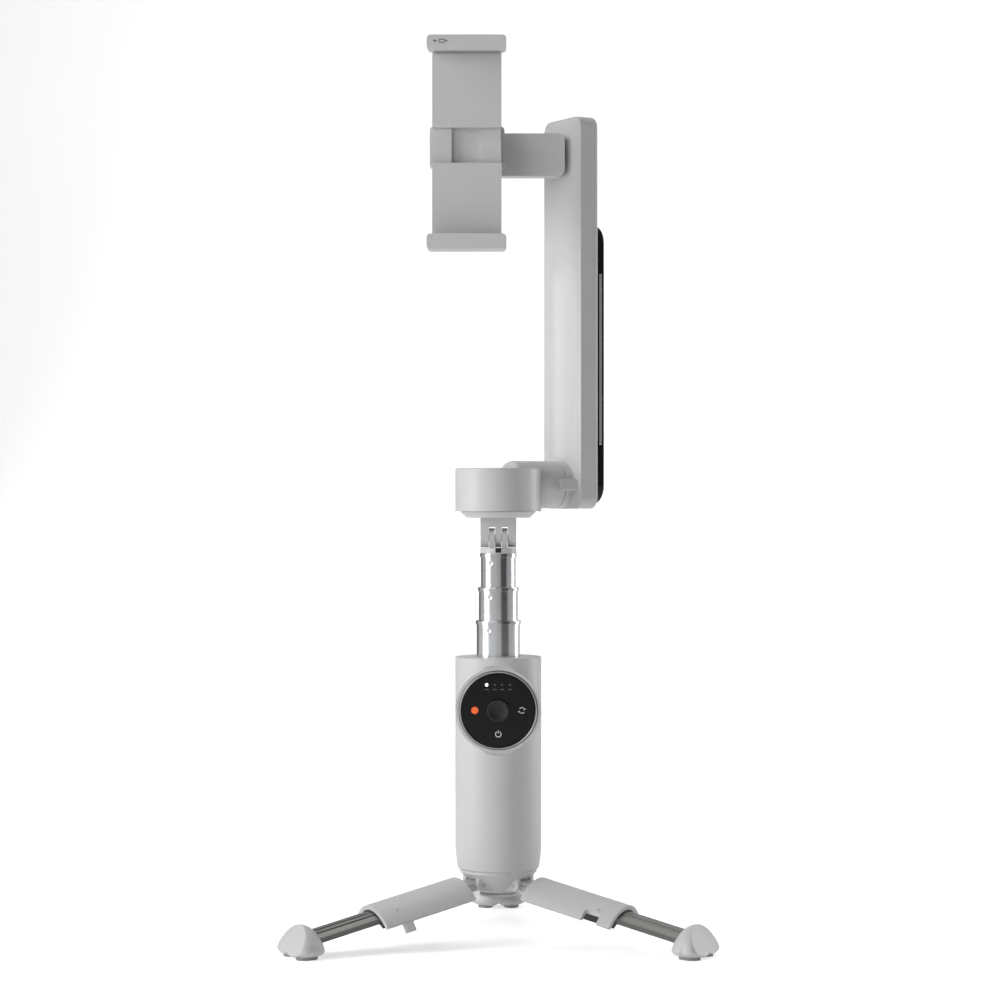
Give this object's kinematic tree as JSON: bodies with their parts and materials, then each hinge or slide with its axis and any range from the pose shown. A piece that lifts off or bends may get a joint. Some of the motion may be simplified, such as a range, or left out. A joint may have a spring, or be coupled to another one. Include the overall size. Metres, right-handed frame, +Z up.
{
  "type": "gimbal stabilizer",
  "caption": "Folding phone stabilizer with a round control panel, telescopic rod, fold-out tripod, motor joints and a spring clamp.",
  "frame": {"origin": "on the handle's axis, at the height the feet stand on", "axes": "+Z up along the handle, -Y towards the user and the control panel, +X to the right"},
  "size_m": [0.177, 0.1565, 0.3728],
  "materials": {
    "shell": "fine satin moulded plastic",
    "panel_black": "glossy black",
    "joystick_black": "matte black",
    "wheel": "anodised ring",
    "tube": "polished",
    "rail": "brushed, ribbed",
    "steel": "satin",
    "chrome_trim": "bright",
    "gloss_cover": "glossy black",
    "dark_plastic": "moulded",
    "rubber": "soft pads",
    "board": "circuit board",
    "battery": "wrapped cells",
    "copper": "enamelled windings",
    "magnet": "nickel plated"
  },
  "bodies": {
    "handle": {"handle_shell": "shell", "tripod_hub": "shell", "leg_pins": "steel", "panel_base": "dark_plastic", "control_board": "board", "battery_pack": "battery", "rod_guide": "dark_plastic", "usb_port": "steel", "trigger_pin": "steel"},
    "zoom_wheel": {"zoom_wheel": "wheel"},
    "pad_rocker": {"pad_rocker": "dark_plastic"},
    "control_pad": {"control_pad": "panel_black"},
    "joystick_yoke": {"joystick_yoke": "steel"},
    "joystick": {"joystick": "joystick_black"},
    "trigger": {"trigger": "shell"},
    "rod_lower": {"rod_lower": "tube"},
    "rod_middle": {"rod_middle": "tube"},
    "rod_upper": {"rod_upper": "tube", "rod_fork": "shell", "pivot_pin": "steel"},
    "pan_base": {"tilt_knuckle": "shell", "pan_base": "shell", "pan_stator": "copper"},
    "pan_head": {"pan_housing": "shell", "pan_rotor": "magnet", "pan_shaft": "steel"},
    "arm": {"fold_pin": "steel", "arm_frame": "shell", "arm_cover": "gloss_cover", "arm_trim": "chrome_trim", "latch_tab": "shell", "roll_housing": "shell", "roll_stator": "copper"},
    "roll_head": {"roll_rotor": "shell", "tilt_motor": "shell"},
    "clamp": {"tilt_shaft": "steel", "tilt_cradle": "shell", "cradle_screws": "steel", "clamp_magnet": "magnet", "clamp_body": "shell"},
    "jaw_upper": {"clamp_jaw_upper": "shell", "jaw_pad_upper": "rubber"},
    "jaw_lower": {"clamp_jaw_lower": "shell", "jaw_pad_lower": "rubber"},
    "leg_1": {"leg_shell_1": "shell", "leg_guide_1": "dark_plastic"},
    "leg_end_1": {"leg_rail_1": "rail", "foot_1": "shell", "foot_pad_1": "rubber"},
    "leg_2": {"leg_shell_2": "shell", "leg_guide_2": "dark_plastic"},
    "leg_end_2": {"leg_rail_2": "rail", "foot_2": "shell", "foot_pad_2": "rubber"},
    "leg_3": {"leg_shell_3": "shell", "leg_guide_3": "dark_plastic"},
    "leg_end_3": {"leg_rail_3": "rail", "foot_3": "shell", "foot_pad_3": "rubber"}
  },
  "joints": [
    {"name": "leg_fold_1", "type": "hinge", "parent": "handle", "child": "leg_1", "pos_m": [-0.00953, -0.0055, 0.024], "axis": [0.5, -0.866, 0], "range_deg": [0, 76]},
    {"name": "leg_extend_1", "type": "slide", "parent": "leg_1", "child": "leg_end_1", "axis": [0.8471, 0.4891, 0.2079], "range_m": [0, 0.0225]},
    {"name": "leg_fold_2", "type": "hinge", "parent": "handle", "child": "leg_2", "pos_m": [0.00953, -0.0055, 0.024], "axis": [0.5, 0.866, 0], "range_deg": [0, 76]},
    {"name": "leg_extend_2", "type": "slide", "parent": "leg_2", "child": "leg_end_2", "axis": [-0.8471, 0.4891, 0.2079], "range_m": [0, 0.0225]},
    {"name": "leg_fold_3", "type": "hinge", "parent": "handle", "child": "leg_3", "pos_m": [0, 0.011, 0.024], "axis": [-1, 0, 0], "range_deg": [0, 76]},
    {"name": "leg_extend_3", "type": "slide", "parent": "leg_3", "child": "leg_end_3", "axis": [0, -0.9781, 0.2079], "range_m": [0, 0.0225]},
    {"name": "zoom_wheel_turn", "type": "hinge", "parent": "handle", "child": "zoom_wheel", "pos_m": [0, -0.015, 0.097], "axis": [0, -1, 0], "continuous": true},
    {"name": "pad_rock_x", "type": "hinge", "parent": "handle", "child": "pad_rocker", "pos_m": [0, -0.0146, 0.097], "axis": [1, 0, 0], "range_deg": [-1.2, 1.2], "stiffness_Nm_per_rad": 0.5},
    {"name": "pad_rock_z", "type": "hinge", "parent": "pad_rocker", "child": "control_pad", "pos_m": [0, -0.0146, 0.097], "axis": [0, 0, 1], "range_deg": [-1.2, 1.2], "stiffness_Nm_per_rad": 0.5},
    {"name": "joystick_x", "type": "hinge", "parent": "handle", "child": "joystick_yoke", "pos_m": [0, -0.0132, 0.097], "axis": [1, 0, 0], "range_deg": [-10, 10], "stiffness_Nm_per_rad": 0.02},
    {"name": "joystick_z", "type": "hinge", "parent": "joystick_yoke", "child": "joystick", "pos_m": [0, -0.0132, 0.097], "axis": [0, 0, 1], "range_deg": [-10, 10], "stiffness_Nm_per_rad": 0.02},
    {"name": "trigger_pull", "type": "hinge", "parent": "handle", "child": "trigger", "pos_m": [0, 0.014, 0.1048], "axis": [1, 0, 0], "range_deg": [0, 6], "stiffness_Nm_per_rad": 0.1},
    {"name": "rod_lower_slide", "type": "slide", "parent": "handle", "child": "rod_lower", "axis": [0, 0, 1], "range_m": [-0.012, 0.04]},
    {"name": "rod_middle_slide", "type": "slide", "parent": "rod_lower", "child": "rod_middle", "axis": [0, 0, 1], "range_m": [-0.0115, 0.04]},
    {"name": "rod_upper_slide", "type": "slide", "parent": "rod_middle", "child": "rod_upper", "axis": [0, 0, 1], "range_m": [-0.0115, 0.04]},
    {"name": "head_tilt", "type": "hinge", "parent": "rod_upper", "child": "pan_base", "pos_m": [0, 0, 0.1678], "axis": [1, 0, 0], "range_deg": [0, 90]},
    {"name": "pan_turn", "type": "hinge", "parent": "pan_base", "child": "pan_head", "pos_m": [0, 0, 0.19], "axis": [0, 0, 1], "range_deg": [-212, 162]},
    {"name": "arm_fold", "type": "hinge", "parent": "pan_head", "child": "arm", "pos_m": [0, 0, 0.19015], "axis": [-0.8746, -0.4848, 0], "range_deg": [0, 150]},
    {"name": "roll_turn", "type": "hinge", "parent": "arm", "child": "roll_head", "pos_m": [-0.0129, 0.01, 0.3292], "axis": [0, -1, 0], "range_deg": [-160, 70]},
    {"name": "tilt_turn", "type": "hinge", "parent": "roll_head", "child": "clamp", "pos_m": [-0.0129, -0.0055, 0.3292], "axis": [-1, 0, 0], "range_deg": [-60, 60]},
    {"name": "jaw_upper_slide", "type": "slide", "parent": "clamp", "child": "jaw_upper", "axis": [0, 0, 1], "range_m": [-0.0068, 0.0032]},
    {"name": "jaw_lower_slide", "type": "slide", "parent": "clamp", "child": "jaw_lower", "axis": [0, 0, -1], "range_m": [-0.0068, 0.0032]}
  ],
  "couplings": [
    {"joint": "jaw_lower_slide", "follows": "jaw_upper_slide", "ratio": 1}
  ]
}
